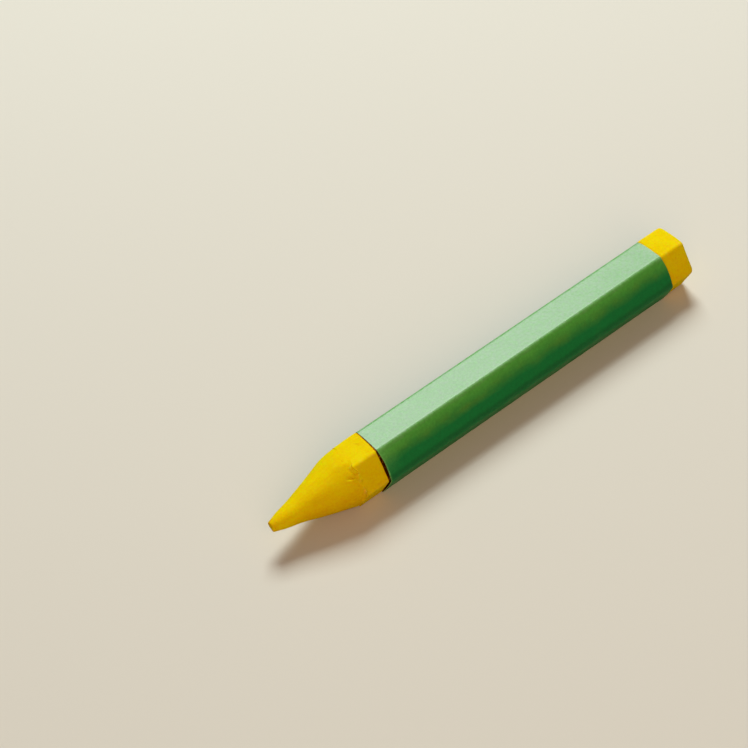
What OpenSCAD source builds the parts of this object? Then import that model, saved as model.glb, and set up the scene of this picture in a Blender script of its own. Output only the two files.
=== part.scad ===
// Tire marking crayon: a hexagonal stick of hard coloured wax with a tapered point,
// held in a wrapped and glued paper sleeve that leaves both ends of the stick bare.
// It lies on one flat of the sleeve. +X runs from the nose to the butt and +Z is up.
// The origin is under the middle of the crayon, on the surface that it lies on.

/* [Stick] */
// Length of the stick, from the nose to the butt
stick_len = 114.3; // [90:0.1:140]
// Distance across two opposite flats of the stick
stick_across = 12.4; // [9:0.1:20]
// Radius of the six long ridges
ridge_r = 0.8; // [0.3:0.1:2]
// Radius of the edges round the butt
butt_r = 1.3; // [0.4:0.1:3]

/* [Point] */
// Length of the tapered point, from the nose to the shoulder
point_len = 20; // [12:0.5:35]
// Radius of the blunt nose
nose_r = 1.5; // [0.8:0.1:3]
// Radius of the rounding round the nose
nose_round = 0.6; // [0.2:0.1:0.8]
// Width of the shoulder's ledge at the middle of each flat, where it is narrowest
ledge_w = 0.05; // [0.05:0.05:1]
// Slope of the slim stretch behind the nose
nose_slope = 0.19; // [0.1:0.01:0.25]
// Slope of the full stretch in front of the shoulder
base_slope = 0.11; // [0.05:0.01:0.25]

/* [Sleeve] */
// Bare hexagonal collar between the shoulder and the sleeve
collar_len = 6; // [2:0.5:15]
// Bare stub between the sleeve and the butt
stub_len = 7.3; // [3:0.1:20]
// Thickness of the paper
paper = 0.12; // [0.08:0.01:0.4]
// Clearance between the stick and the paper, on each flat
paper_gap = 0.03; // [0.02:0.01:0.2]
// Width of the glued lap where the paper ends on itself
lap_w = 4; // [2:0.5:5]

/* [Hidden] */

// Straight steps in the arc of each ridge and rounded edge
arc_steps = 6;
// Straight steps in the curve of the point
taper_steps = 16;
// Facets of the turned point
turn_fn = 96;
// Angle at the centre between two neighbouring ridges
ridge_pitch = 60;
// Share of the point's length that each end of its curve steers
taper_reach = 0.5;
base_reach = 0.34;
// Direction of the flat that carries the lap: the lower one on the +Y side
lap_turn = -30;

sleeve_across = stick_across + 2 * (paper_gap + paper);
axis_z = sleeve_across / 2;
base_r = stick_across / 2 - ledge_w;
nose_x = -stick_len / 2;
sleeve_len = stick_len - point_len - collar_len - stub_len;
sleeve_x = nose_x + point_len + collar_len;
// Larger than the stick in every direction across it
clear_r = stick_across;

// Arc of a given radius about a centre, from one angle to another
function arc(centre, r, from, to, steps = arc_steps) =
    [for (i = [0:steps]) let (a = from + (to - from) * i / steps)
        centre + r * [cos(a), sin(a)]];

// Outline of a hexagon with rounded corners and its flats square to Y
function hexagon(across, r) =
    let (reach = (across / 2 - r) / cos(ridge_pitch / 2))
    [for (k = [0:5]) let (turn = k * ridge_pitch)
        each arc(reach * [cos(turn), sin(turn)], r, turn - ridge_pitch / 2, turn + ridge_pitch / 2)];

// Point at share t of a cubic curve through its first and last control point
function cubic(p, t) =
    pow(1 - t, 3) * p[0] + 3 * t * pow(1 - t, 2) * p[1] + 3 * t * t * (1 - t) * p[2] + pow(t, 3) * p[3];

// Lays a shape drawn in X and Y, and raised along Z, along the crayon from a given place
module along_crayon(x) {
    translate([x, 0, axis_z]) rotate([90, 0, 90]) children();
}

// Turned envelope of the point. It ends in a wide step at the shoulder, which leaves the
// hexagon whole behind it, with a ledge that is widest at the ridges.
module point_envelope() {
    taper = [
        [nose_r, nose_round],
        [nose_r + nose_slope * taper_reach * point_len, nose_round + taper_reach * point_len],
        [base_r - base_slope * base_reach * point_len, point_len - base_reach * point_len],
        [base_r, point_len]
    ];
    rotate_extrude($fn = turn_fn)
        polygon(concat(
            [[0, 0]],
            arc([nose_r - nose_round, nose_round], nose_round, -90, 0),
            [for (i = [1:taper_steps]) cubic(taper, i / taper_steps)],
            [[clear_r, point_len], [clear_r, stick_len], [0, stick_len]]
        ));
}

// Slab as thick as the stick is across, with its two edges at the butt rounded
module butt_slab() {
    side = stick_across / 2;
    translate([-clear_r, 0, 0]) rotate([90, 0, 90])
        linear_extrude(2 * clear_r)
            polygon(concat(
                [[-side, 0], [side, 0]],
                arc([side - butt_r, stick_len - butt_r], butt_r, 0, 90),
                arc([butt_r - side, stick_len - butt_r], butt_r, 90, 180)
            ));
}

// Space between all three pairs of flats, with the edges round the butt rounded
module flats_and_butt() {
    intersection() {
        butt_slab();
        rotate(ridge_pitch) butt_slab();
        rotate(-ridge_pitch) butt_slab();
    }
}

module crayon_stick() {
    color("#e9bd12")
        along_crayon(nose_x)
            intersection() {
                linear_extrude(stick_len) polygon(hexagon(stick_across, ridge_r));
                point_envelope();
                flats_and_butt();
            }
}

module paper_sleeve() {
    inner_across = stick_across + 2 * paper_gap;
    color("#7db77c")
        along_crayon(sleeve_x)
            linear_extrude(sleeve_len)
                difference() {
                    union() {
                        polygon(hexagon(sleeve_across, ridge_r + paper_gap + paper));
                        rotate(lap_turn) translate([inner_across / 2, -lap_w / 2])
                            square([2 * paper, lap_w]);
                    }
                    polygon(hexagon(inner_across, ridge_r + paper_gap));
                }
}

crayon_stick();
paper_sleeve();
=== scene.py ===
# %% [markdown]
# # A hexagonal marking crayon in a paper sleeve
#
# The real object is two pieces. A stick of hard coloured wax is cast as a hexagon, and its
# point is then turned to a blunt taper. A sheet of coated paper is wrapped round it,
# creased on the ridges and glued to itself with a lap. This script dresses the two solids
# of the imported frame: each is replaced by a finer mesh of the same form, with the wear,
# the loose paper edge and the small faults that make it look handled.
#
# All the shaping below is worked out in millimetres, because a crayon is small. Only the
# last step of each mesh turns millimetres into Blender's metres.

# %% Load the frame
import math
from collections import namedtuple

import bpy
from mathutils import Matrix, Vector, noise


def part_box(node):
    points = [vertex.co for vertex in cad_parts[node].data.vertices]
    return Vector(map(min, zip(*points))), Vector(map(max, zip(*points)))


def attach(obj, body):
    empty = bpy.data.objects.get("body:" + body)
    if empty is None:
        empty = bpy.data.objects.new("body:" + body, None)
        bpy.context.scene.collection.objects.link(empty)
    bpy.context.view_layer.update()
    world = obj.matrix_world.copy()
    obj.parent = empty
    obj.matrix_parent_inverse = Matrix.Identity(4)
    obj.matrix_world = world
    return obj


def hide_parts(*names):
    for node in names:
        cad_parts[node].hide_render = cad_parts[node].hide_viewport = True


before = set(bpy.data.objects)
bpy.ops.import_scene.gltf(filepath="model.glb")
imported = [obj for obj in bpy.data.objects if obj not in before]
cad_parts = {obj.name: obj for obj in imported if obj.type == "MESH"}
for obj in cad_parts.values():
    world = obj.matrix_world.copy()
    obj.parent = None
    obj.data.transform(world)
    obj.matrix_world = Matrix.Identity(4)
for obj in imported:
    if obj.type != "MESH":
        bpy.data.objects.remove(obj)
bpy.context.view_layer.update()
MM = 0.001

stick_low, stick_high = (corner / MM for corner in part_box("crayon_stick"))
sleeve_low, sleeve_high = (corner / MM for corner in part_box("paper_sleeve"))
print("stick from", stick_low[:], "to", stick_high[:])
print("sleeve from", sleeve_low[:], "to", sleeve_high[:])

# %% [markdown]
# ## The sizes that both pieces share
#
# The frame gives the outer sizes, so they aren't written a second time. What a bounding
# box can't say, such as the radius of a ridge, is named here.

# %% Shared sizes
STICK_ACROSS = stick_high.z - stick_low.z
SLEEVE_ACROSS = sleeve_high.z - sleeve_low.z
AXIS_Z = (stick_high.z + stick_low.z) / 2
RIDGE_R = 0.8
WALL = (SLEEVE_ACROSS - STICK_ACROSS) / 2
PAPER = 0.12
RIDGES = 6
PITCH = 2 * math.pi / RIDGES
print(f"{STICK_ACROSS:.2f} mm across the stick, {WALL:.3f} mm from wax to the paper's outside")


def smooth(low, high, value):
    """0 below low, 1 above high, and an even slope between them."""
    share = min(max((value - low) / (high - low), 0.0), 1.0)
    return share * share * (3 - 2 * share)


def bump_at(value, centre, width):
    """A soft hill, 1 at the centre and close to 0 two widths away."""
    return math.exp(-(((value - centre) / width) ** 2))


def grain(x, y, z, size, seed):
    """Seeded noise from -1 to 1, whose lumps are about size millimetres apart."""
    return noise.noise(Vector((x, y, z)) / size + Vector((seed * 17.3, seed * 5.1, -seed * 9.7)))


# %% [markdown]
# ## A hexagon with rounded ridges
#
# Both pieces have the same kind of section, so one function draws it. It walks round the
# six ridges, lays an arc on each one and then points across the flat that follows. Each
# point keeps the direction that its surface faces and its share across the flat, which is
# -1 and 1 at the ridges and 0 in the middle. The later steps use that share to puff the
# paper and to find the ridges that wear first.

# %% The section
Point = namedtuple("Point", "y z turn share flat")


def hexagon(across, ridge_r, flat_steps, arc_steps, extra=()):
    """Points round a hexagon. ridge_r is one radius, or six. extra: more places on a flat."""
    radii = ridge_r if isinstance(ridge_r, tuple) else (ridge_r,) * RIDGES
    outline = []
    for ridge in range(RIDGES):
        middle = ridge * PITCH
        ridge_r = radii[ridge]
        reach = (across / 2 - ridge_r) / math.cos(PITCH / 2)
        centre = Vector((math.cos(middle), math.sin(middle))) * reach
        for step in range(arc_steps + 1):
            turn = middle + PITCH * (step / arc_steps - 0.5)
            spot = centre + Vector((math.cos(turn), math.sin(turn))) * ridge_r
            side = -1.0 if step * 2 > arc_steps else 1.0
            outline.append(Point(spot.x, spot.y, turn, side, ridge if side < 0 else ridge - 1))
        facing = middle + PITCH / 2
        out = Vector((math.cos(facing), math.sin(facing)))
        along = Vector((-out.y, out.x))
        first = -(across / 2 - ridge_r) * math.tan(PITCH / 2)
        last = (across / 2 - radii[(ridge + 1) % RIDGES]) * math.tan(PITCH / 2)
        places = [first + (last - first) * step / flat_steps for step in range(1, flat_steps)]
        for place in sorted(places + [p for p in extra if first < p < last]):
            spot = out * (across / 2) + along * place
            share = 2 * (place - first) / (last - first) - 1
            outline.append(Point(spot.x, spot.y, facing, share, ridge))
    return outline


print(len(hexagon(STICK_ACROSS, RIDGE_R, 28, 8)), "points round the stick")

# %% [markdown]
# ## From rings to a mesh
#
# Both pieces are lofted: rings of points, each with as many points as the last, joined by
# quads. That keeps the faces even, it runs in a moment, and every point can be moved by a
# rule on the way. The values that the materials need, such as how worn a point is, travel
# with the points as attributes.

# %% Loft rings into a mesh
def loft(name, rings, attributes, closed=False, caps=True):
    """A mesh from rings of (x, y, z) in millimetres. closed joins the last ring to the first."""
    count = len(rings[0])
    points = [Vector(p) * MM for ring in rings for p in ring]
    faces = []
    spans = len(rings) if closed else len(rings) - 1
    for span in range(spans):
        here, there = span * count, (span + 1) % len(rings) * count
        for i in range(count):
            j = (i + 1) % count
            faces.append((here + i, here + j, there + j, there + i))
    if caps:
        faces.append(tuple(reversed(range(count))))
        faces.append(tuple(range(len(points) - count, len(points))))
    mesh = bpy.data.meshes.new(name)
    mesh.from_pydata(points, [], faces)
    for label, values in attributes.items():
        layer = mesh.attributes.new(label, "FLOAT", "POINT")
        layer.data.foreach_set("value", values)
    mesh.validate()
    mesh.update()
    piece = bpy.data.objects.new(name, mesh)
    bpy.context.collection.objects.link(piece)
    return piece


def finish_shading(piece, sharp_degrees):
    """Smooth shading, with a crisp break wherever two faces meet at more than the angle."""
    piece.data.shade_smooth()
    piece.data.set_sharp_from_angle(angle=math.radians(sharp_degrees))


# %% [markdown]
# ## The camera
#
# The crayon is seen from in front and above, from the nose's side, with a long lens half a
# metre away. The picture is square, and the focal length is worked out from the side of
# that square. A longer lens further off, with a longer crayon, would look much the same.

# %% Camera
PICTURE_SIDE = 748
FOCAL_PIXELS = 2450
SENSOR_MM = 36
CAMERA_PLACE = Vector((-225.6, -286.55, 377.05))
CAMERA_HEADING = math.radians(34.70)
CAMERA_DOWN = math.radians(44.94)
CAMERA_ROLL = math.radians(-7.57)


def make_camera():
    forward = Vector((
        math.sin(CAMERA_HEADING) * math.cos(CAMERA_DOWN),
        math.cos(CAMERA_HEADING) * math.cos(CAMERA_DOWN),
        -math.sin(CAMERA_DOWN),
    ))
    level = Vector((math.cos(CAMERA_HEADING), -math.sin(CAMERA_HEADING), 0))
    upright = level.cross(forward)
    right = level * math.cos(CAMERA_ROLL) + upright * math.sin(CAMERA_ROLL)
    up = upright * math.cos(CAMERA_ROLL) - level * math.sin(CAMERA_ROLL)
    data = bpy.data.cameras.new("camera")
    data.sensor_fit = "HORIZONTAL"
    data.sensor_width = SENSOR_MM
    data.lens = FOCAL_PIXELS / PICTURE_SIDE * SENSOR_MM
    data.clip_start = 0.01
    camera = bpy.data.objects.new("camera", data)
    bpy.context.collection.objects.link(camera)
    turn = Matrix((right, up, -forward)).transposed().to_4x4()
    camera.matrix_world = Matrix.Translation(CAMERA_PLACE * MM) @ turn
    bpy.context.scene.camera = camera
    return camera


camera = make_camera()
print(f"lens {camera.data.lens:.1f} mm, {CAMERA_PLACE.length:.0f} mm from the crayon")

# %% [markdown]
# ## Colour and nodes
#
# Colours are written as sRGB hex, as a paint chart gives them, and one function turns them
# into the linear values that Blender mixes. One more function adds a shader node: sockets
# go in a dictionary, either as a value or as the socket to link from, and everything else
# is a setting of the node.

# %% Colour and node helpers
def linear(hex_colour):
    """Linear RGBA of an sRGB colour such as "e9bd12"."""
    channels = [int(hex_colour[i:i + 2], 16) / 255 for i in (0, 2, 4)]
    return tuple(c / 12.92 if c <= 0.04045 else ((c + 0.055) / 1.055) ** 2.4 for c in channels) + (1.0,)


def add(tree, kind, sockets=None, **settings):
    """Adds a node. Each socket takes a value or the output that feeds it."""
    node = tree.nodes.new(kind)
    for name, value in settings.items():
        setattr(node, name, value)
    for name, value in (sockets or {}).items():
        if isinstance(value, bpy.types.NodeSocket):
            tree.links.new(value, node.inputs[name])
        else:
            node.inputs[name].default_value = value
    return node


def start_material(name):
    """An empty node material and its tree."""
    material = bpy.data.materials.new(name)
    material.use_nodes = True
    material.node_tree.nodes.clear()
    return material, material.node_tree


def per_mm(size):
    """Texture scale at which a pattern repeats about every size millimetres."""
    return 1 / (size * MM)


print("marking yellow in linear light:", [round(c, 3) for c in linear("e9bd12")])

# %% [markdown]
# ## Where the paper is cut
#
# The sheet was cut by hand before it was rolled on, so neither end is square: each runs a
# little askew from ridge to ridge, and bows on the flats. Both pieces need this line. The
# paper ends on it, and just in front of it the wax is a little eaten away and darkened with
# painted shade.

# %% The two cut ends
STICK_LEN = stick_high.x - stick_low.x
SLEEVE_FROM = sleeve_low.x - stick_low.x
SLEEVE_TO = sleeve_high.x - stick_low.x
FRONT_ASKEW = (-0.1, 0.1, -0.27, -0.3, -0.35, -0.15)
BACK_ASKEW = (-0.15, -0.1, -0.3, -0.34, -0.3, -0.2)
CUT_BOW = (0.08, 0.08, 0.27, 0.12, 0.0, 0.08)
CUT_WANDER = 0.035


def between_ridges(values, point):
    """The value at a point, from one value for each ridge."""
    share = (point.share + 1) / 2
    return values[point.flat] * (1 - share) + values[(point.flat + 1) % RIDGES] * share


def front_cut(point):
    """Distance from the nose at which the paper starts, at this place round the crayon."""
    bow = CUT_BOW[point.flat] * (1 - point.share ** 2)
    wander = CUT_WANDER * grain(0, point.y, point.z, 1.6, 8)
    return SLEEVE_FROM + between_ridges(FRONT_ASKEW, point) + bow + wander


def back_cut(point):
    """The same for the end of the paper near the butt."""
    bow = CUT_BOW[point.flat] * (1 - point.share ** 2)
    wander = CUT_WANDER * grain(9, point.y, point.z, 1.6, 8)
    return SLEEVE_TO + between_ridges(BACK_ASKEW, point) + bow + wander


print(f"the paper runs from {SLEEVE_FROM:.1f} to {SLEEVE_TO:.1f} mm from the nose")

# %% [markdown]
# ## The stick's point
#
# The point was turned to a slim, slightly hollow taper and then worn by use. The side view
# is one cubic curve: it leaves the rounded nose at a shallow slope, steepens, and flattens
# again before the shoulder. Use has rubbed one side of the nose away, so the middle of the
# last millimetres has moved towards the other side, and the nose's end is a slanted face.
# The stick wasn't held true while it was turned. On one side the taper is fuller and runs
# into the flats without a step; on the other there is a shoulder.

# %% Side view of the point
POINT_LEN = 20.0
NOSE_R = 1.5
NOSE_ROUND = 0.3
NOSE_SLOPE = 0.19
TAPER_REACH = 0.5
BASE_SLOPE = 0.13
BASE_REACH = 0.34
BASE_R = STICK_ACROSS / 2 + 0.06
NOSE_DRIFT = Vector((0.3, 0.2))
NOSE_PINCH = 0.34
PINCH_LEN = 2.6
NOSE_STEPS = 7
TAPER_STEPS = 150
FULL_SIDE = math.radians(62)


def point_profile():
    """(distance from the nose, radius) from the nose's flat to the shoulder."""
    profile = [(0.0, NOSE_R * share) for share in (0.1, 0.25, 0.4)]
    for step in range(NOSE_STEPS + 1):
        turn = math.pi / 2 * step / NOSE_STEPS
        profile.append((NOSE_ROUND * (1 - math.cos(turn)), NOSE_R - NOSE_ROUND * (1 - math.sin(turn))))
    lead = TAPER_REACH * POINT_LEN
    tail = BASE_REACH * POINT_LEN
    curve = [
        Vector((NOSE_ROUND, NOSE_R)),
        Vector((NOSE_ROUND + lead, NOSE_R + NOSE_SLOPE * lead)),
        Vector((POINT_LEN - tail, BASE_R - BASE_SLOPE * tail)),
        Vector((POINT_LEN, BASE_R)),
    ]
    for step in range(1, TAPER_STEPS + 1):
        t = step / TAPER_STEPS
        weights = ((1 - t) ** 3, 3 * t * (1 - t) ** 2, 3 * t * t * (1 - t), t ** 3)
        spot = sum((c * w for c, w in zip(curve, weights)), Vector((0, 0)))
        profile.append((spot.x, spot.y))
    return [
        (x, r - NOSE_PINCH * max(1 - x / PINCH_LEN, 0) ** 1.1 * min(r / NOSE_R, 1))
        for x, r in profile
    ]


def drift(x):
    """How far the middle of the point has moved sideways at distance x from the nose."""
    return NOSE_DRIFT * (0.2 * (1 - smooth(0, 4, x)) + 0.55 * (1 - smooth(2, 18, x)))


def away_from(turn, centre):
    """The angle between two directions round the crayon, from 0 to pi."""
    return abs(math.remainder(turn - centre, 2 * math.pi))


def full_share(turn):
    """1 on the side where the taper is full, 0 on the side with the shoulder."""
    return 1 - smooth(math.radians(34), math.radians(62), away_from(turn, FULL_SIDE))


profile = point_profile()
print(f"{len(profile)} rings, from {profile[0][1]:.2f} to {profile[-1][1]:.2f} mm in radius")

# %% [markdown]
# ## The stick's rings
#
# The hexagon behind the point starts at a flat shoulder. The ledge there is widest at the
# ridges, and where the taper is full the ridge is worn down to meet it. The corners of the
# butt are rounded, more on the side that it was dropped on. The rings are close together
# where the wax shows and far apart inside the sleeve.

# %% Rings of the stick
FLAT_STEPS = 28
ARC_STEPS = 8
RING_GAP = 0.2
FINE_GAP = 0.1
HIDDEN_GAP = 8.0
SHOULDER_EDGE = 0.14
SHOULDER_SLANT = -0.55
TIP_SLANT = -0.75
TIP_RIDGE = math.radians(120)
FAR_UNDER = math.radians(305)
NOSE_SLANT = 0.17
NOSE_UNDER = 0.5
NOSE_AHEAD = 0.22
FULLNESS = 0.46
LOW_SIDE = math.radians(195)
LOW_RIDGE = math.radians(240)
FLARE = 0.22
BUTT_R = 1.35
BUTT_CORNER = (0.4, 0.4, 0.3, 1.3, 0.9, 0.4)
BUTT_WORN = 0.38
BUTT_SHORT = 0.12
BUTT_STEPS = 9
CAP_STEPS = 9
TUCK = 1.0
WORN_RISE = 0.1
FULL_BLEND = 0.35
EDGE_BLEND = 0.12


def steps_between(start, end, gap):
    """Evenly spaced places from start to end, about gap apart."""
    count = max(1, round((end - start) / gap))
    return [start + (end - start) * i / count for i in range(count + 1)]


def softer_minimum(a, b, blend):
    """The smaller of two radii, with the corner between them rounded over blend."""
    share = max(blend - abs(a - b), 0.0) / blend
    return min(a, b) - share * share * blend / 4


def taper_reach(x, radius, turn):
    """The turned radius in one direction, before the hexagon limits it."""
    swell = FULLNESS * bump_at(x, POINT_LEN + 0.6, 5.2) * full_share(turn)
    near_low_ridge = 1 - smooth(math.radians(12), math.radians(40), away_from(turn, LOW_RIDGE))
    flare = 0.4 * smooth(15.5, 17.5, x) + 0.6 * smooth(17.6, 19, x)
    return radius + swell + FLARE * near_low_ridge * flare


def shoulder_at(turn):
    """How far the shoulder lies ahead of its mean place, in one direction."""
    low_side = 1 - smooth(math.radians(35), math.radians(75), away_from(turn, LOW_SIDE))
    return SHOULDER_SLANT * low_side + TIP_SLANT * bump_at(away_from(turn, TIP_RIDGE), 0, math.radians(8))


def slanted(x, y, z):
    """Moves a point along the crayon: the nose's face and the shoulder aren't square."""
    turn = math.atan2(z, y)
    slant = shoulder_at(turn) * bump_at(x, POINT_LEN, 2.4)
    towards = (y * math.cos(FULL_SIDE) + z * math.sin(FULL_SIDE)) / NOSE_R
    under = (y * math.cos(FAR_UNDER) + z * math.sin(FAR_UNDER)) / NOSE_R
    nose = NOSE_SLANT * max(towards, 0.0) + NOSE_UNDER * max(under, 0.0) - NOSE_AHEAD
    nose *= 1 - smooth(0, 3.5, x)
    butt = (BUTT_SHORT + BUTT_WORN * smooth(0, 6, -y)) * smooth(SLEEVE_TO + 3, STICK_LEN, x)
    return (x + slant + nose - butt, y, z)


def stick_rings():
    full = hexagon(STICK_ACROSS, RIDGE_R, FLAT_STEPS, ARC_STEPS)
    directions = [math.atan2(p.z, p.y) for p in full]
    limits = [math.hypot(p.y, p.z) for p in full]
    rings = []
    for x, radius in profile:
        middle = drift(x)
        ring = []
        for turn, limit in zip(directions, limits):
            reach = taper_reach(x, radius, turn)
            if x > POINT_LEN / 2:
                blend = EDGE_BLEND + (FULL_BLEND - EDGE_BLEND) * full_share(turn)
                reach = softer_minimum(reach, limit, blend)
            ring.append((x, middle.x + reach * math.cos(turn), middle.y + reach * math.sin(turn)))
        rings.append(ring)

    def behind_shoulder(x, outline):
        ring = []
        for p in outline:
            turn, reach = math.atan2(p.z, p.y), math.hypot(p.y, p.z)
            worn = BASE_R + FULLNESS + 0.14 + WORN_RISE * (x - POINT_LEN)
            share = full_share(turn) * (1 - smooth(POINT_LEN + 5, POINT_LEN + 6, x))
            reach += (softer_minimum(worn, reach, FULL_BLEND) - reach) * share
            ring.append((x, reach * math.cos(turn), reach * math.sin(turn)))
        return ring

    for step in range(5):
        turn = math.pi / 2 * step / 4
        inset = SHOULDER_EDGE * (1 - math.sin(turn))
        x = POINT_LEN + SHOULDER_EDGE * (1 - math.cos(turn))
        edge = hexagon(STICK_ACROSS - 2 * inset, RIDGE_R, FLAT_STEPS, ARC_STEPS)
        merged = []
        for p, sharp in zip(full, edge):
            share = full_share(math.atan2(p.z, p.y))
            y = sharp.y + (p.y - sharp.y) * share
            z = sharp.z + (p.z - sharp.z) * share
            merged.append(p._replace(y=y, z=z))
        rings.append(behind_shoulder(x, merged))
    places = steps_between(POINT_LEN + SHOULDER_EDGE, SLEEVE_FROM + TUCK, FINE_GAP)[1:]
    places += steps_between(SLEEVE_FROM + TUCK, SLEEVE_TO - TUCK, HIDDEN_GAP)[1:]
    places += steps_between(SLEEVE_TO - TUCK, STICK_LEN - BUTT_R, RING_GAP)[1:]
    rings += [behind_shoulder(x, full) for x in places]
    for step in range(1, BUTT_STEPS + 1):
        turn = math.pi / 2 * step / BUTT_STEPS
        inset = BUTT_R * (1 - math.cos(turn))
        ridge_r = tuple(RIDGE_R + more * inset / BUTT_R for more in BUTT_CORNER)
        edge = hexagon(STICK_ACROSS - 2 * inset, ridge_r, FLAT_STEPS, ARC_STEPS)
        rings.append([(STICK_LEN - BUTT_R + BUTT_R * math.sin(turn), p.y, p.z) for p in edge])
    last = rings[-1]
    for step in range(1, CAP_STEPS):
        share = 1 - step / CAP_STEPS
        rings.append([(x, y * share, z * share) for x, y, z in last])
    return [[slanted(*point) for point in ring] for ring in rings]


rings = stick_rings()
print(len(rings), "rings of", len(rings[0]), "points")

# %% [markdown]
# ## Hand-made unevenness
#
# A cast and turned stick is never quite true. A broad, faint swell keeps the flats from
# looking machined, and the taper has a slight waist. The turning tool tore the wax in
# front of the shoulder and left a lip beside the tear, and a burr stands up along the
# shoulder itself. Under the paper the stick is a shade thinner, so that the paper closes
# on it, and on the near side a gap is left open at the paper's front end.

# %% Unevenness of the wax
SWELL = 0.03
RIPPLE = 0.014
WAIST = 0.07
BURR_HEIGHT = 0.26
BEADS = ((137, 1.0), (148, 1.7), (162, 1.5), (170, 1.0))
BEAD_HALF = math.radians(3.6)
# How much painted shade darkens the lower near side of the point and collar.
UNDERSIDE_SHADE = 0.15
TEAR = (18.2, math.radians(136.2))
TEAR_LIP = (17.9, math.radians(139.8))
TEAR_BELOW = (18.6, math.radians(143.6))
TEAR_TURN = math.radians(22)
TEAR_HALF = 0.8
TEAR_DEPTH = 0.3
THINNER = 0.3
GAP_DEPTH = (0.12, 0.18, 0.16, 0.3, 0.3, 0.12)
GAP_WIDE = (0.1, 0.28, 0.36, 0.42, 0.35, 0.1)
GAP_BOW = (0.0, -0.05, 0.2, 0.1, 0.0, 0.0)


def scratch(x, turn, radius, centre, half_width):
    """A short soft line on the wax, 1 in its middle, that runs at the tear's angle."""
    ahead = x - centre[0]
    across = math.remainder(turn - centre[1], 2 * math.pi) * radius
    along = ahead * math.cos(TEAR_TURN) + across * math.sin(TEAR_TURN)
    beside = across * math.cos(TEAR_TURN) - ahead * math.sin(TEAR_TURN)
    return bump_at(along, 0, TEAR_HALF) * bump_at(beside, 0, half_width)


def gap_from(point):
    """Where the wax falls away in front of the paper, as a distance from the nose."""
    return front_cut(point) - between_ridges(GAP_WIDE, point) - GAP_BOW[point.flat] * (1 - point.share ** 2)


def burr_at(x, y, z):
    """The lumpy burr along the shoulder: how high it stands and how deep the dip before it is."""
    turn = math.atan2(z, y)
    rim = POINT_LEN + shoulder_at(turn) - 0.1 + 0.35 * grain(0, y, z, 1.7, 3)
    lumps = max(0.55 + 1.6 * grain(0, y, z, 1.25, 4), 0.2)
    for degrees, height in BEADS:
        lumps += height * bump_at(away_from(turn, math.radians(degrees)), 0, BEAD_HALF)
    return lumps * bump_at(x, rim, 0.32), max(1.3 - lumps, 0) * bump_at(x, rim - 0.5, 0.24)


def wax_push(x, y, z, point):
    """How far the surface moves outwards at one point, in millimetres."""
    turn = math.atan2(z, y)
    radius = math.hypot(y, z)
    push = SWELL * grain(x, y, z, 5.0, 1) + RIPPLE * grain(x, y, z, 0.9, 2)
    push *= 0.4 + 0.6 * smooth(1.0, 3.0, radius)
    on_side = (1 - full_share(turn)) * (1 - 0.8 * bump_at(away_from(turn, LOW_RIDGE), 0, math.radians(20)))
    waist = bump_at(x, 11.5, 3.2) * on_side - bump_at(x, 6.2, 1.8)
    push += WAIST * (waist + 0.25 * bump_at(x, 7.5, 4) * full_share(turn))
    burr, dip = burr_at(x, y, z)
    push += BURR_HEIGHT * on_side * (burr - 0.6 * dip)
    push += 0.6 * TEAR_DEPTH * scratch(x, turn, radius, TEAR_LIP, 0.24)
    push -= TEAR_DEPTH * scratch(x, turn, radius, TEAR, 0.24)
    push -= 0.5 * TEAR_DEPTH * scratch(x, turn, radius, TEAR_BELOW, 0.24)
    shown = 1 - smooth(SLEEVE_FROM - 0.6, SLEEVE_FROM, x) + smooth(SLEEVE_TO, SLEEVE_TO + 0.6, x)
    start = gap_from(point)
    paper = front_cut(point)
    depth = between_ridges(GAP_DEPTH, point) * smooth(start, start + 0.16, x)
    depth += (THINNER - between_ridges(GAP_DEPTH, point)) * smooth(paper, paper + 0.5, x)
    end = back_cut(point)
    return push * shown - depth * (1 - smooth(end - 0.4, end - 0.02, x))


def wear_and_highlight_of(x, y, z, share):
    """How pale the wax is: rubbed on the ridges, butt and nose, with a painted highlight on the burr."""
    turn = math.atan2(z, y)
    ridge = smooth(0.86, 1.0, abs(share)) if x > POINT_LEN - 0.2 else 0.0
    # Painted highlight: the burr is paler where it stands highest, for its lit tops.
    burr_highlight = burr_at(x, y, z)[0] * (1 - full_share(turn))
    butt = bump_at(x, STICK_LEN - BUTT_R / 2, 0.7)
    nose = bump_at(x, 0.7, 0.5)
    return max(ridge * 0.4, burr_highlight * 0.9, butt * 0.5, nose * 0.5)


def painted_shade_of(x, turn, point):
    """Painted shade, 0 to 1: at the paper's ends, in the tear and under the point; the nose is darker."""
    # Painted shade: in the gap at the paper's front end, just behind its back end, in the tear and on the
    # lower near side of the point.
    start = gap_from(point)
    at_paper = smooth(start - 0.12, start + 0.1, x) * (1 - smooth(SLEEVE_TO - 4, SLEEVE_TO - 2, x))
    depth = 0.45 if point.flat in (0, 1) else 0.9
    tear = 0.14 * scratch(x, turn, 6.1, TEAR, 0.16)
    under = 1 - smooth(math.radians(30), math.radians(75), away_from(turn, math.radians(215)))
    shade_tint = UNDERSIDE_SHADE * under * smooth(2, 8, x) * (1 - 0.55 * smooth(19, 20.5, x))
    nose = 0.1 * (1 - smooth(0.3, 1.4, x))
    behind = 0.12 * (1 - smooth(0.1, 0.7, x - back_cut(point))) * smooth(SLEEVE_TO - 4, SLEEVE_TO - 2, x)
    return max(at_paper * depth, shade_tint, tear, nose, behind)


# %% [markdown]
# ## The wax mesh
#
# Each point is pushed along the direction from the middle of its own ring. Only then is
# the mesh lofted, and laid along the frame's X axis at the height of the crayon's middle.
# How worn each point is, with a painted highlight on the burr, and how much painted shade
# it has travel with it, for the material.

# %% Make the stick
OFF_FLOOR = 0.03
outline = hexagon(STICK_ACROSS, RIDGE_R, FLAT_STEPS, ARC_STEPS)


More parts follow.
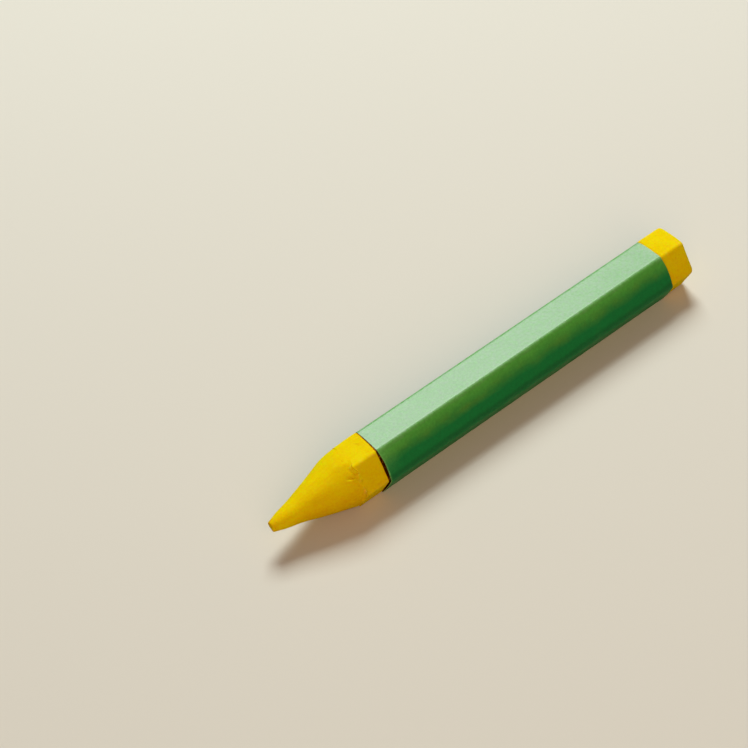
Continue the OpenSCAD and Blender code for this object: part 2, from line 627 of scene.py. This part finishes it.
def push_ring(ring):
    """The ring with every point moved out or in by the unevenness of the wax."""
    moved = []
    for (x, y, z), point in zip(ring, outline):
        radius = math.hypot(y, z)
        scale = 1 + wax_push(x, y, z, point) / radius if radius > 0.5 else 1.0
        moved.append((x, y * scale, z * scale))
    return moved


# Wear with a painted highlight on the burr, and painted shade, travel to the material.
wear_and_highlight = [wear_and_highlight_of(x, y, z, p.share) for ring in rings for (x, y, z), p in zip(ring, outline)]
painted_shade = [painted_shade_of(x, math.atan2(z, y), p) for ring in rings for (x, y, z), p in zip(ring, outline)]
placed = [
    [(x + stick_low.x, y, max(z + AXIS_Z, OFF_FLOOR)) for x, y, z in push_ring(ring)]
    for ring in rings
]
wax_stick = loft("wax_stick", placed, {"wear_and_highlight": wear_and_highlight, "painted_shade": painted_shade})
finish_shading(wax_stick, 38)
print(f"{wax_stick.name}: {len(wax_stick.data.vertices)} points, {len(wax_stick.data.polygons)} faces")

# %% [markdown]
# ## Marking wax
#
# Hard marking wax is paraffin filled with chalk and a strong pigment, cast in a mould. The
# filler makes it matt, but a little light still gets under the skin, and red gets furthest,
# which softens the step from light to shade. Most of the orange on the shaded side isn't
# this: it comes from the warm lamp in front. The pigment isn't stirred in evenly, which
# leaves soft clouds a few millimetres across and a fine grain. Rubbed edges turn pale,
# because loose chalk stays on them. Filled wax has an IOR of about 1.45 and a weak, broad
# highlight.
# The pale tops of the burr are a painted highlight, and the orange-brown and dark brown at the paper's
# ends, in the tear and under the point are painted shade.

# %% Material of the stick
WAX_YELLOW = "edd600"
WAX_DEEP = "e8c600"
WAX_PALE = "f2d84c"
WAX_FLECK = "c46c10"
# Painted shade: orange-brown where it is light, dark brown in the gap at the paper's front end.
WAX_SHADE_TINT = "d08600"
WAX_GAP_SHADE = "3c1800"
WAX_IOR = 1.45
CLOUD_MM = 4.5
GRAIN_MM = 0.45
FLECK_MM = 1.3
MOTTLE_MM = 0.9
STREAK_MM = 0.7


def marking_wax():
    material, tree = start_material("cast_marking_wax")
    place = add(tree, "ShaderNodeTexCoord").outputs["Object"]
    worn = add(tree, "ShaderNodeAttribute", attribute_name="wear_and_highlight").outputs["Fac"]
    shade_mask = add(tree, "ShaderNodeAttribute", attribute_name="painted_shade").outputs["Fac"]
    clouds = add(tree, "ShaderNodeTexNoise", {"Vector": place, "Scale": per_mm(CLOUD_MM), "Detail": 4})
    fine = add(tree, "ShaderNodeTexNoise", {"Vector": place, "Scale": per_mm(GRAIN_MM), "Detail": 3})
    cloudy = add(tree, "ShaderNodeMapRange", {"Value": clouds.outputs["Fac"], "From Min": 0.35,
                                              "From Max": 0.7, "To Max": 0.7})
    grainy = add(tree, "ShaderNodeMapRange", {"Value": fine.outputs["Fac"], "From Min": 0.3,
                                              "From Max": 0.7, "To Min": -0.35, "To Max": 0.35})
    uneven = add(tree, "ShaderNodeMath", {0: cloudy.outputs["Result"], 1: grainy.outputs["Result"]},
                 operation="ADD", use_clamp=True)
    drawn = add(tree, "ShaderNodeMapping", {"Vector": place, "Scale": (0.18, 1.0, 1.0)})
    streaks = add(tree, "ShaderNodeTexNoise", {"Vector": drawn.outputs[0], "Scale": per_mm(STREAK_MM),
                                               "Detail": 2})
    streaky = add(tree, "ShaderNodeMapRange", {"Value": streaks.outputs["Fac"], "From Min": 0.45,
                                               "From Max": 0.65, "To Max": 0.3})
    uneven = add(tree, "ShaderNodeMath", {0: uneven.outputs[0], 1: streaky.outputs["Result"]},
                 operation="ADD", use_clamp=True)
    body = add(tree, "ShaderNodeMix", {"Factor": uneven.outputs[0], 6: linear(WAX_YELLOW),
                                       7: linear(WAX_DEEP)}, data_type="RGBA")
    flecks = add(tree, "ShaderNodeTexNoise", {"Vector": place, "Scale": per_mm(FLECK_MM), "Detail": 2})
    fleck_mask = add(tree, "ShaderNodeMapRange", {"Value": flecks.outputs["Fac"], "From Min": 0.66,
                                                  "From Max": 0.8, "To Max": 0.3})
    flecked = add(tree, "ShaderNodeMix", {"Factor": fleck_mask.outputs["Result"], 6: body.outputs[2],
                                          7: linear(WAX_FLECK)}, data_type="RGBA")
    mottle = add(tree, "ShaderNodeTexNoise", {"Vector": place, "Scale": per_mm(MOTTLE_MM), "Detail": 3})
    patchy = add(tree, "ShaderNodeMapRange", {"Value": mottle.outputs["Fac"], "From Min": 0.45,
                                              "From Max": 0.7, "To Max": 0.5})
    # Pale wax: real wear on the ridges, butt and nose, and a painted highlight on the burr's tops.
    more = add(tree, "ShaderNodeMath", {0: worn, 1: 0.12}, operation="ADD")
    rub_and_highlight = add(tree, "ShaderNodeMath", {0: more.outputs[0], 1: patchy.outputs["Result"]},
              operation="MULTIPLY")
    worn_and_highlit = add(tree, "ShaderNodeMix", {"Factor": rub_and_highlight.outputs[0], 6: flecked.outputs[2],
                                         7: linear(WAX_PALE)}, data_type="RGBA")
    specks = add(tree, "ShaderNodeMapRange", {"Value": mottle.outputs["Fac"], "From Min": 0.35,
                                              "From Max": 0.65, "To Min": 0.7, "To Max": 1.3})
    # Painted shade: tints the wax orange-brown, and dark brown in the gap at the paper's front end.
    shade_mask = add(tree, "ShaderNodeMath", {0: shade_mask, 1: specks.outputs["Result"]}, operation="MULTIPLY")
    light = add(tree, "ShaderNodeMapRange", {"Value": shade_mask.outputs[0], "From Max": 0.4})
    deep = add(tree, "ShaderNodeMapRange", {"Value": shade_mask.outputs[0], "From Min": 0.3, "From Max": 0.8})
    shade_tint = add(tree, "ShaderNodeMix", {"Factor": light.outputs["Result"], 6: worn_and_highlit.outputs[2],
                                         7: linear(WAX_SHADE_TINT)}, data_type="RGBA")
    colour = add(tree, "ShaderNodeMix", {"Factor": deep.outputs["Result"], 6: shade_tint.outputs[2],
                                         7: linear(WAX_GAP_SHADE)}, data_type="RGBA")
    rough = add(tree, "ShaderNodeMapRange", {"Value": clouds.outputs["Fac"], "To Min": 0.62, "To Max": 0.8})
    soft = add(tree, "ShaderNodeBump", {"Height": clouds.outputs["Fac"], "Strength": 0.3,
                                        "Distance": 0.3 * MM})
    lines = add(tree, "ShaderNodeBump", {"Height": streaks.outputs["Fac"], "Strength": 0.35,
                                         "Distance": 0.12 * MM, "Normal": soft.outputs[0]})
    skin = add(tree, "ShaderNodeBump", {"Height": fine.outputs["Fac"], "Strength": 0.35,
                                        "Distance": 0.08 * MM, "Normal": lines.outputs[0]})
    shader = add(tree, "ShaderNodeBsdfPrincipled", {
        "Base Color": colour.outputs[2],
        "Roughness": rough.outputs["Result"],
        "IOR": WAX_IOR,
        "Specular IOR Level": 0.02,
        "Subsurface Weight": 0.4,
        "Subsurface Radius": (1.0, 0.35, 0.05),
        "Subsurface Scale": 0.8 * MM,
        "Normal": skin.outputs[0],
    })
    add(tree, "ShaderNodeOutputMaterial", {"Surface": shader.outputs[0]})
    return material


wax_stick.data.materials.append(marking_wax())
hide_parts("crayon_stick")
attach(wax_stick, "root")

# %% [markdown]
# ## The sleeve's form
#
# The sleeve is one sheet of paper. It is tight on the ridges, but between them it stands
# a little away from the wax, and at its cut ends it has lifted. It isn't wrapped evenly
# either: it is tight over the far ridge and slack on the near side. The flat that the
# crayon lies on stays flat. The two plies of the glued lap make a raised strip on the
# hidden side.

# %% Form of the paper
PUFF = (0.05, -0.02, 0.0, 0.0, 0.0, 0.1)
EASE = (0.0, -0.2, -0.04, 0.16, 0.06, 0.0)
LAP_FLAT = 5
LAP_HALF = 2.0
LAP_STEP = 0.05
LAP_SOFT = 0.4
LIP_RISE = (0.1, 0.03, 0.12, 0.15, 0.0, 0.1)
LIP_LEN = 1.4
WRINKLE = 0.025
SLEEVE_RIDGE_R = (0.85, 1.2, 0.8, 1.2, 0.5, 0.85)
SLEEVE_FLAT_STEPS = 22
SLEEVE_ARC_STEPS = 8
SLEEVE_RING_GAP = 0.8
END_RINGS = (0.15, 0.35, 0.6)
LAP_PLACES = (-LAP_HALF - LAP_STEP, -LAP_HALF, LAP_HALF, LAP_HALF + LAP_SOFT)


def raised_lap(place):
    """Extra height over the lap: a sharp free edge on one side, a soft rise on the other."""
    rise = smooth(-LAP_HALF - LAP_STEP, -LAP_HALF, place)
    return PAPER * rise * (1 - smooth(LAP_HALF, LAP_HALF + LAP_SOFT, place))


def paper_lift(point, x, inner):
    """How far the paper stands away from its tight form."""
    room = 1 - point.share ** 2
    end = min(x - sleeve_low.x, sleeve_high.x - x)
    lift = between_ridges(EASE, point)
    lift += PUFF[point.flat] * room * (0.85 + 0.3 * grain(x, point.flat * 9.0, 0, 22.0, 6))
    lift += LIP_RISE[point.flat] * (0.3 + 0.7 * room) * math.exp(-end / LIP_LEN)
    if point.flat != 4:
        lift += WRINKLE * room * grain(x, point.y, point.z, 6.0, 7)
    if point.flat == LAP_FLAT and not inner:
        half = SLEEVE_ACROSS / 2 * math.tan(PITCH / 2)
        lift += raised_lap(point.share * half)
    return lift


# %% [markdown]
# ## The paper mesh
#
# The outside is lofted from one end to the other and the inside back again, so the sheet
# has its true thickness and its cut edges are real faces. Three things are kept for the
# material: how much oil has soaked in from the wax, how rubbed the print is near the creases
# and cut edge with its painted sheen, and the painted shade in the lower near crease.

# %% Make the sleeve
SOAK_AT_RIDGE = (0.3, 1.0, 1.0, 0.0, 0.04, 0.1)
SOAK_SIDE = 0.72
SOAK_END = 0.34
# How dark the painted shade in the lower near crease is.
CREASE_SHADE = 0.3
# Rubbed print on the creases; on the lower near rim (the fifth value) it is a painted sheen line.
RUB_AND_SHEEN_AT_RIDGE = (0.2, 0.3, 0.26, 0.0, 0.5, 0.2)


def soak_of(point):
    """How far oil has reached: all over the top, and down the near side to its middle."""
    if point.flat != 2:
        return between_ridges(SOAK_AT_RIDGE, point)
    return SOAK_SIDE * min(max((SOAK_END - point.share) / (1 + SOAK_END), 0), 1) ** 0.9


def rub_and_sheen_of(x, point):
    """How rubbed the print is, thinly on creases and more at the near cut edge, with painted sheen."""
    front = sleeve_low.x + front_cut(point) - SLEEVE_FROM
    cut = 1 - smooth(0.15, 0.4, x - front) if point.flat in (2, 3) else 0.0
    nearest = (point.flat + (point.share > 0)) % RIDGES
    ridge = RUB_AND_SHEEN_AT_RIDGE[nearest] * smooth(0.9, 1.0, abs(point.share))
    # Painted sheen: lighter towards the front end of the near side, most near its upper ridge.
    front_sheen = 0.6 * (1 - smooth(0, 4.5, x - front)) * (0.5 - 0.5 * point.share) if point.flat == 2 else 0.0
    return max(ridge, cut, front_sheen)


def crease_shade_of(point):
    """Painted shade in the lower near crease, darker towards the ridge."""
    return CREASE_SHADE * smooth(0.75, 0.97, point.share) if point.flat == 2 else 0.0


def sleeve_wall(inner):
    """Rings of one side of the sheet, from the front end to the back."""
    across = SLEEVE_ACROSS - (2 * PAPER if inner else 0)
    ridge_r = tuple(r - (PAPER if inner else 0) for r in SLEEVE_RIDGE_R)
    outline = hexagon(across, ridge_r, SLEEVE_FLAT_STEPS, SLEEVE_ARC_STEPS, LAP_PLACES)
    places = steps_between(sleeve_low.x, sleeve_high.x, SLEEVE_RING_GAP)
    places += [sleeve_low.x + d for d in END_RINGS] + [sleeve_high.x - d for d in END_RINGS]
    floor_z = -SLEEVE_ACROSS / 2 + (PAPER if inner else 0)
    rings = []
    for x in sorted(places):
        ring = []
        front = 1 - smooth(sleeve_low.x, sleeve_low.x + 6, x)
        back = smooth(sleeve_high.x - 6, sleeve_high.x, x)
        for p in outline:
            lift = paper_lift(p, x, inner)
            slide = front * (front_cut(p) - SLEEVE_FROM) + back * (back_cut(p) - SLEEVE_TO)
            z = max(p.z + lift * math.sin(p.turn), floor_z)
            ring.append((x + slide, p.y + lift * math.cos(p.turn), z + AXIS_Z))
        rings.append(ring)
    return rings, outline


outer, sheet_outline = sleeve_wall(False)
inner, _ = sleeve_wall(True)
sleeve_rings = outer + inner[::-1]
soak = [soak_of(p) for ring in sleeve_rings for p in sheet_outline]
rub_and_sheen = [rub_and_sheen_of(x, p) for ring in sleeve_rings for (x, _, _), p in zip(ring, sheet_outline)]
crease_shade = [crease_shade_of(p) for ring in sleeve_rings for p in sheet_outline]
kept = {"soak": soak, "rub_and_sheen": rub_and_sheen, "crease_shade": crease_shade}
paper_sleeve = loft("paper_sleeve_sheet", sleeve_rings, kept, closed=True, caps=False)
finish_shading(paper_sleeve, 40)
print(f"{paper_sleeve.name}: {len(paper_sleeve.data.vertices)} points, {len(sleeve_rings)} rings")

# %% [markdown]
# ## Coated paper
#
# The sheet is a bleached paper, printed green all over and clay-coated, so it is smoother
# and shinier than plain paper, with a soft sheen rather than a mirror. Its fibres still
# show as a faint tooth. Where it lies tight on the wax, oil has soaked through and turned
# the green yellower and lighter. The print is rubbed thin on the creases. A lighter line on
# the lower near rim and a lighter patch at the front of the near side are painted sheen,
# and the lower near crease is darkened with painted shade. The cut edge shows the core of
# the sheet, which isn't printed. The inside is stained by the wax and painted dark brown
# for the shade in the gap at the front.

# %% Material of the sleeve
GREEN_DRY = "007834"
GREEN_MOIST = "358a38"
GREEN_DAMP = "52aa40"
GREEN_SOAKED = "6aa65c"
GREEN_OLIVE = "5c8e2c"
GREEN_CLOUD = "a4b8ac"
GREEN_RUB_AND_SHEEN = "78c466"
PAPER_CORE = "b3b878"
# Dark brown painted shade for the inside of the sheet, seen only in the gap.
PAPER_INSIDE_SHADE = "3a2408"
PAPER_IOR = 1.5
FIBRE_MM = 0.2
BLOOM_MM = 0.9
BLOTCH_MM = 6.0
OLIVE_MM = 2.6
TOOTH_MM = 0.55
WRINKLE_MM = 5.0


def coated_paper():
    material, tree = start_material("coated_printed_paper")
    place = add(tree, "ShaderNodeTexCoord").outputs["Object"]
    soaked = add(tree, "ShaderNodeAttribute", attribute_name="soak").outputs["Fac"]
    rub_and_sheen_mask = add(tree, "ShaderNodeAttribute", attribute_name="rub_and_sheen").outputs["Fac"]
    shade_mask = add(tree, "ShaderNodeAttribute", attribute_name="crease_shade").outputs["Fac"]
    blotch = add(tree, "ShaderNodeTexNoise", {"Vector": place, "Scale": per_mm(BLOTCH_MM), "Detail": 5})
    mottle = add(tree, "ShaderNodeTexNoise", {"Vector": place, "Scale": per_mm(BLOOM_MM), "Detail": 4})
    fibre = add(tree, "ShaderNodeTexNoise", {"Vector": place, "Scale": per_mm(FIBRE_MM), "Detail": 2})
    wrinkle = add(tree, "ShaderNodeTexNoise", {"Vector": place, "Scale": per_mm(WRINKLE_MM), "Detail": 2})
    uneven = add(tree, "ShaderNodeMapRange", {"Value": blotch.outputs["Fac"], "From Min": 0.25,
                                              "From Max": 0.75, "To Min": -0.09, "To Max": 0.09})
    reach = add(tree, "ShaderNodeMath", {0: soaked, 1: uneven.outputs["Result"]}, operation="ADD",
                use_clamp=True)
    longer = add(tree, "ShaderNodeMapping", {"Vector": place, "Scale": (0.5, 1.0, 1.0)})
    patches = add(tree, "ShaderNodeTexNoise", {"Vector": longer.outputs[0], "Scale": per_mm(OLIVE_MM),
                                               "Detail": 4})
    patch = add(tree, "ShaderNodeMapRange", {"Value": patches.outputs["Fac"], "From Min": 0.42,
                                             "From Max": 0.68, "To Max": 0.55})
    moist = add(tree, "ShaderNodeMapRange", {"Value": reach.outputs[0], "From Min": 0.03, "From Max": 0.3})
    damp = add(tree, "ShaderNodeMapRange", {"Value": reach.outputs[0], "From Min": 0.28, "From Max": 0.62})
    full = add(tree, "ShaderNodeMapRange", {"Value": reach.outputs[0], "From Min": 0.65})
    yellowed = add(tree, "ShaderNodeMix", {"Factor": patch.outputs["Result"], 6: linear(GREEN_MOIST),
                                           7: linear(GREEN_OLIVE)}, data_type="RGBA")
    green = add(tree, "ShaderNodeMix", {"Factor": moist.outputs["Result"], 6: linear(GREEN_DRY),
                                        7: yellowed.outputs[2]}, data_type="RGBA")
    green = add(tree, "ShaderNodeMix", {"Factor": damp.outputs["Result"], 6: green.outputs[2],
                                        7: linear(GREEN_DAMP)}, data_type="RGBA")
    green = add(tree, "ShaderNodeMix", {"Factor": full.outputs["Result"], 6: green.outputs[2],
                                        7: linear(GREEN_SOAKED)}, data_type="RGBA")
    pale = add(tree, "ShaderNodeMapRange", {"Value": mottle.outputs["Fac"], "From Min": 0.35,
                                            "From Max": 0.7, "To Max": 0.45})
    pale = add(tree, "ShaderNodeMath", {0: pale.outputs["Result"], 1: full.outputs["Result"]},
               operation="MULTIPLY")
    clouded = add(tree, "ShaderNodeMix", {"Factor": pale.outputs[0], 6: green.outputs[2],
                                          7: linear(GREEN_CLOUD)}, data_type="RGBA")
    broken = add(tree, "ShaderNodeMapRange", {"Value": fibre.outputs["Fac"], "From Min": 0.35,
                                              "From Max": 0.65, "To Min": 0.3, "To Max": 0.9})
    # Rubbed print, with painted sheen on the lower near rim and at the front of the near side.
    rub_and_highlight = add(tree, "ShaderNodeMath", {0: rub_and_sheen_mask, 1: broken.outputs["Result"]}, operation="MULTIPLY")
    colour = add(tree, "ShaderNodeMix", {"Factor": rub_and_highlight.outputs[0], 6: clouded.outputs[2],
                                         7: linear(GREEN_RUB_AND_SHEEN)}, data_type="RGBA")
    tooth = add(tree, "ShaderNodeTexNoise", {"Vector": place, "Scale": per_mm(TOOTH_MM), "Detail": 2})
    shade = add(tree, "ShaderNodeMapRange", {"Value": tooth.outputs["Fac"], "From Min": 0.25,
                                             "From Max": 0.75, "To Min": 0.88, "To Max": 1.12})
    # Painted shade in the lower near crease darkens the colour here.
    darker = add(tree, "ShaderNodeMath", {0: shade.outputs["Result"], 1: shade_mask}, operation="SUBTRACT")
    colour = add(tree, "ShaderNodeHueSaturation", {"Value": darker.outputs[0], "Color": colour.outputs[2]})
    gloss = add(tree, "ShaderNodeMapRange", {"Value": mottle.outputs["Fac"], "To Min": 0.22,
                                             "To Max": 0.42})
    dull = add(tree, "ShaderNodeMapRange", {"Value": reach.outputs[0], "From Max": 0.3, "To Min": 0.28,
                                            "To Max": 0.0})
    rough = add(tree, "ShaderNodeMath", {0: gloss.outputs["Result"], 1: dull.outputs["Result"]},
                operation="ADD")
    sag = add(tree, "ShaderNodeBump", {"Height": wrinkle.outputs["Fac"], "Strength": 0.2,
                                       "Distance": 0.2 * MM})
    skin = add(tree, "ShaderNodeBump", {"Height": fibre.outputs["Fac"], "Strength": 0.12,
                                         "Distance": 0.02 * MM, "Normal": sag.outputs[0]})
    shader = add(tree, "ShaderNodeBsdfPrincipled", {
        "Base Color": colour.outputs[0],
        "Roughness": rough.outputs[0],
        "IOR": PAPER_IOR,
        "Specular IOR Level": 0.27,
        "Normal": skin.outputs[0],
    })
    add(tree, "ShaderNodeOutputMaterial", {"Surface": shader.outputs[0]})
    return material


def bare_paper(name, light_hex, dark_hex):
    """The sheet where it isn't printed: fibres show as fine light and dark specks."""
    material, tree = start_material(name)
    place = add(tree, "ShaderNodeTexCoord").outputs["Object"]
    fibre = add(tree, "ShaderNodeTexNoise", {"Vector": place, "Scale": per_mm(FIBRE_MM), "Detail": 3})
    colour = add(tree, "ShaderNodeMix", {"Factor": fibre.outputs["Fac"], 6: linear(light_hex),
                                         7: linear(dark_hex)}, data_type="RGBA")
    shader = add(tree, "ShaderNodeBsdfPrincipled", {"Base Color": colour.outputs[2], "Roughness": 0.85,
                                                    "IOR": PAPER_IOR})
    add(tree, "ShaderNodeOutputMaterial", {"Surface": shader.outputs[0]})
    return material


paper_sleeve.data.materials.append(coated_paper())
paper_sleeve.data.materials.append(bare_paper("cut_paper_core", PAPER_CORE, GREEN_SOAKED))
# The inside: orange-brown wax stain, with dark brown as painted shade, since it shows only in the gap.
paper_sleeve.data.materials.append(bare_paper("stain_and_shade_paper_inside", PAPER_INSIDE_SHADE, WAX_FLECK))
around = len(sheet_outline)
for number, face in enumerate(paper_sleeve.data.polygons):
    span = number // around
    if span in (len(outer) - 1, len(sleeve_rings) - 1):
        face.material_index = 1
    elif span > len(outer) - 1:
        face.material_index = 2
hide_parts("paper_sleeve")
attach(paper_sleeve, "root")
print("printed faces:", sum(f.material_index == 0 for f in paper_sleeve.data.polygons))

# %% [markdown]
# ## Floor and light
#
# The floor is a plain pale sheet. One large softbox stands behind the crayon and above it,
# where the top flat mirrors it, and gives the paper its sheen. A second one in front fills
# the side that the camera sees. Neither is neutral: the back one is slightly cool and the
# front one clearly warm. Under white lamps the shaded wax is less orange. A dim, even sky
# keeps the shadows soft. Strengths are worked out from how bright each softbox looks, so
# that its size can change by itself.

# %% Floor, softboxes and sky
FLOOR_COLOUR = "dad6cc"
FLOOR_BOUNCE = "aaa59c"
FLOOR_SIDE = 3.0
SKY = (0.11, 0.112, 0.115, 1.0)


def make_floor():
    mesh = bpy.data.meshes.new("floor")
    half = FLOOR_SIDE / 2
    corners = [(-half, -half, 0), (half, -half, 0), (half, half, 0), (-half, half, 0)]
    mesh.from_pydata(corners, [], [(0, 1, 2, 3)])
    floor = bpy.data.objects.new("floor", mesh)
    bpy.context.collection.objects.link(floor)
    material, tree = start_material("matt_backdrop_paper")
    path = add(tree, "ShaderNodeLightPath").outputs
    seen = add(tree, "ShaderNodeMath", {0: path["Is Camera Ray"], 1: path["Is Glossy Ray"]},
               operation="ADD")
    seen = add(tree, "ShaderNodeMath", {0: seen.outputs[0], 1: path["Is Transmission Ray"]},
               operation="ADD", use_clamp=True)
    colour = add(tree, "ShaderNodeMix", {"Factor": seen.outputs[0], 6: linear(FLOOR_BOUNCE),
                                         7: linear(FLOOR_COLOUR)}, data_type="RGBA")
    shader = add(tree, "ShaderNodeBsdfPrincipled", {"Base Color": colour.outputs[2], "Roughness": 0.9,
                                                    "Specular IOR Level": 0.2})
    add(tree, "ShaderNodeOutputMaterial", {"Surface": shader.outputs[0]})
    mesh.materials.append(material)
    return floor


def softbox(name, heading, height, distance, side, radiance, colour):
    """A square softbox that faces the crayon. heading is from +Y towards +X, in degrees."""
    a, e = math.radians(heading), math.radians(height)
    towards = Vector((math.sin(a) * math.cos(e), math.cos(a) * math.cos(e), math.sin(e)))
    data = bpy.data.lights.new(name, "AREA")
    data.shape = "SQUARE"
    data.size = side
    data.color = colour
    data.energy = radiance * math.pi * side ** 2
    lamp = bpy.data.objects.new(name, data)
    lamp.location = towards * distance
    lamp.rotation_euler = towards.to_track_quat("Z", "Y").to_euler()
    bpy.context.collection.objects.link(lamp)
    return lamp


make_floor()
softbox("back_softbox", 36, 51, 1.0, 0.45, 15.3, (0.91, 0.99, 0.97))
softbox("front_fill", -150, 35, 1.4, 1.0, 3.25, (1.0, 0.66, 0.42))
world = bpy.data.worlds.new("dim_sky")
world.use_nodes = True
world.node_tree.nodes["Background"].inputs["Color"].default_value = SKY
bpy.context.scene.world = world
bpy.context.scene.view_settings.view_transform = "Standard"
